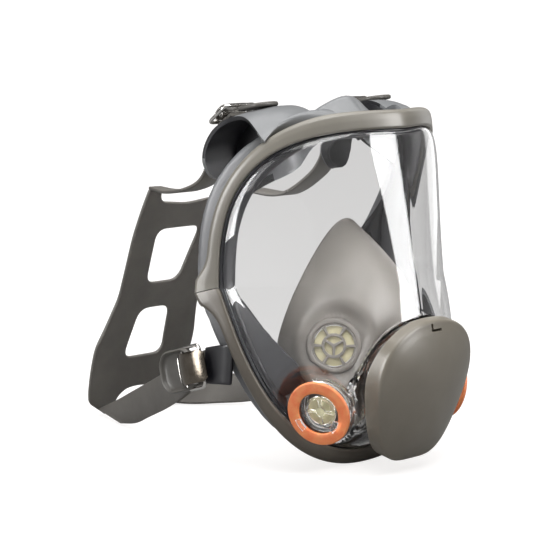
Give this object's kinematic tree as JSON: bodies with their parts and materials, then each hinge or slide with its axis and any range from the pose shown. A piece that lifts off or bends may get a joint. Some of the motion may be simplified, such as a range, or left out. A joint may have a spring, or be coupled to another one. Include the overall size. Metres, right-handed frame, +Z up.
{
  "type": "full face respirator",
  "caption": "Full face respirator: clear visor in a clamp frame, face seal, bayonet filter ports, breathing-out valve under a cover, inner nose cup and a rubber head harness.",
  "frame": {"origin": "centre of the box of the whole mask with its harness, on the table it stands on", "axes": "+Z up, -Y the way the wearer looks, -X the wearer's right"},
  "size_m": [0.1928, 0.2812, 0.2266],
  "materials": {
    "frame_upper_plastic": "satin moulded plastic",
    "frame_lower_plastic": "satin moulded plastic",
    "cover_plastic": "satin moulded plastic",
    "clear_polycarbonate": "clear, glossy",
    "smoky_plastic": "dark, translucent, glossy",
    "black_plastic": "moulded, matte",
    "seal_rubber": "moulded rubber, smooth",
    "nose_cup_silicone": "moulded silicone, smooth",
    "harness_rubber": "moulded rubber, smooth",
    "gasket_rubber": "soft rubber, matte",
    "valve_rubber": "soft rubber, matte",
    "polished_steel": "polished steel"
  },
  "bodies": {
    "facepiece": {"upper_frame": "frame_upper_plastic", "lower_frame": "frame_lower_plastic", "frame_screw_right": "polished_steel", "frame_nut_right": "polished_steel", "frame_screw_left": "polished_steel", "frame_nut_left": "polished_steel", "lens": "clear_polycarbonate", "face_seal": "seal_rubber", "cheek_liner_right": "seal_rubber", "cheek_liner_left": "seal_rubber", "ear_upper_right": "seal_rubber", "ear_upper_left": "seal_rubber", "ear_lower_right": "seal_rubber", "ear_lower_left": "seal_rubber", "port_body_right": "clear_polycarbonate", "port_gasket_right": "gasket_rubber", "port_lock_ring_right": "clear_polycarbonate", "port_valve_seat_right": "clear_polycarbonate", "port_body_left": "clear_polycarbonate", "port_gasket_left": "gasket_rubber", "port_lock_ring_left": "clear_polycarbonate", "port_valve_seat_left": "clear_polycarbonate", "centre_adapter": "smoky_plastic", "centre_gasket": "gasket_rubber", "adapter_lock_ring": "smoky_plastic", "exhalation_valve_seat": "black_plastic", "nose_cup": "nose_cup_silicone", "nose_valve_grid_right": "nose_cup_silicone", "nose_valve_grid_left": "nose_cup_silicone", "pull_tab_upper_right": "harness_rubber", "pull_tab_upper_left": "harness_rubber"},
    "cover": {"front_cover": "cover_plastic"},
    "harness": {"cradle": "harness_rubber", "strap_upper_right": "harness_rubber", "strap_upper_left": "harness_rubber", "strap_lower_right": "harness_rubber", "strap_lower_left": "harness_rubber"},
    "exhalation_flap": {"exhalation_valve_flap": "valve_rubber"},
    "port_flap_right": {"port_valve_flap_right": "valve_rubber"},
    "nose_flap_right": {"nose_valve_flap_right": "valve_rubber"},
    "buckle_upper_right": {"buckle_frame_upper_right": "polished_steel", "buckle_roller_upper_right": "polished_steel"},
    "buckle_lower_right": {"buckle_frame_lower_right": "polished_steel", "buckle_roller_lower_right": "polished_steel", "pull_tab_lower_right": "harness_rubber"},
    "port_flap_left": {"port_valve_flap_left": "valve_rubber"},
    "nose_flap_left": {"nose_valve_flap_left": "valve_rubber"},
    "buckle_upper_left": {"buckle_frame_upper_left": "polished_steel", "buckle_roller_upper_left": "polished_steel"},
    "buckle_lower_left": {"buckle_frame_lower_left": "polished_steel", "buckle_roller_lower_left": "polished_steel", "pull_tab_lower_left": "harness_rubber"}
  },
  "joints": [
    {"name": "harness_lift", "type": "hinge", "parent": "facepiece", "child": "harness", "pos_m": [0, -0.00215, 0.18353], "axis": [1, 0, 0], "range_deg": [0, 35], "deforming": ["strap_upper_right", "strap_upper_left", "strap_lower_right", "strap_lower_left"]},
    {"name": "buckle_upper_right_tilt", "type": "hinge", "parent": "facepiece", "child": "buckle_upper_right", "pos_m": [-0.051, -0.02215, 0.22128], "axis": [1, 0, 0], "range_deg": [0, 25]},
    {"name": "buckle_lower_right_tilt", "type": "hinge", "parent": "facepiece", "child": "buckle_lower_right", "pos_m": [-0.0889, -0.02709, 0.06502], "axis": [0.0279, 0.2786, 0.96], "range_deg": [0, 25]},
    {"name": "buckle_upper_left_tilt", "type": "hinge", "parent": "facepiece", "child": "buckle_upper_left", "pos_m": [0.051, -0.02215, 0.22128], "axis": [1, 0, 0], "range_deg": [0, 25]},
    {"name": "buckle_lower_left_tilt", "type": "hinge", "parent": "facepiece", "child": "buckle_lower_left", "pos_m": [0.0889, -0.02709, 0.06502], "axis": [0.0279, -0.2786, -0.96], "range_deg": [0, 25]},
    {"name": "cover_open", "type": "hinge", "parent": "facepiece", "child": "cover", "pos_m": [0, -0.13435, 0.09553], "axis": [-1, 0, 0], "range_deg": [0, 35]},
    {"name": "port_flap_right_lift", "type": "slide", "parent": "facepiece", "child": "port_flap_right", "axis": [0.9222, 0.3308, 0.2005], "range_m": [0, 0.0018], "stiffness_N_per_m": 40},
    {"name": "port_flap_left_lift", "type": "slide", "parent": "facepiece", "child": "port_flap_left", "axis": [-0.9222, 0.3308, 0.2005], "range_m": [0, 0.0018], "stiffness_N_per_m": 40},
    {"name": "exhalation_flap_lift", "type": "slide", "parent": "facepiece", "child": "exhalation_flap", "axis": [0, -0.9781, -0.2079], "range_m": [0, 0.0016], "stiffness_N_per_m": 200},
    {"name": "nose_flap_right_lift", "type": "slide", "parent": "facepiece", "child": "nose_flap_right", "axis": [0.7621, 0.6217, -0.1805], "range_m": [0, 0.002], "stiffness_N_per_m": 80},
    {"name": "nose_flap_left_lift", "type": "slide", "parent": "facepiece", "child": "nose_flap_left", "axis": [-0.7621, 0.6217, -0.1805], "range_m": [0, 0.002], "stiffness_N_per_m": 80}
  ]
}
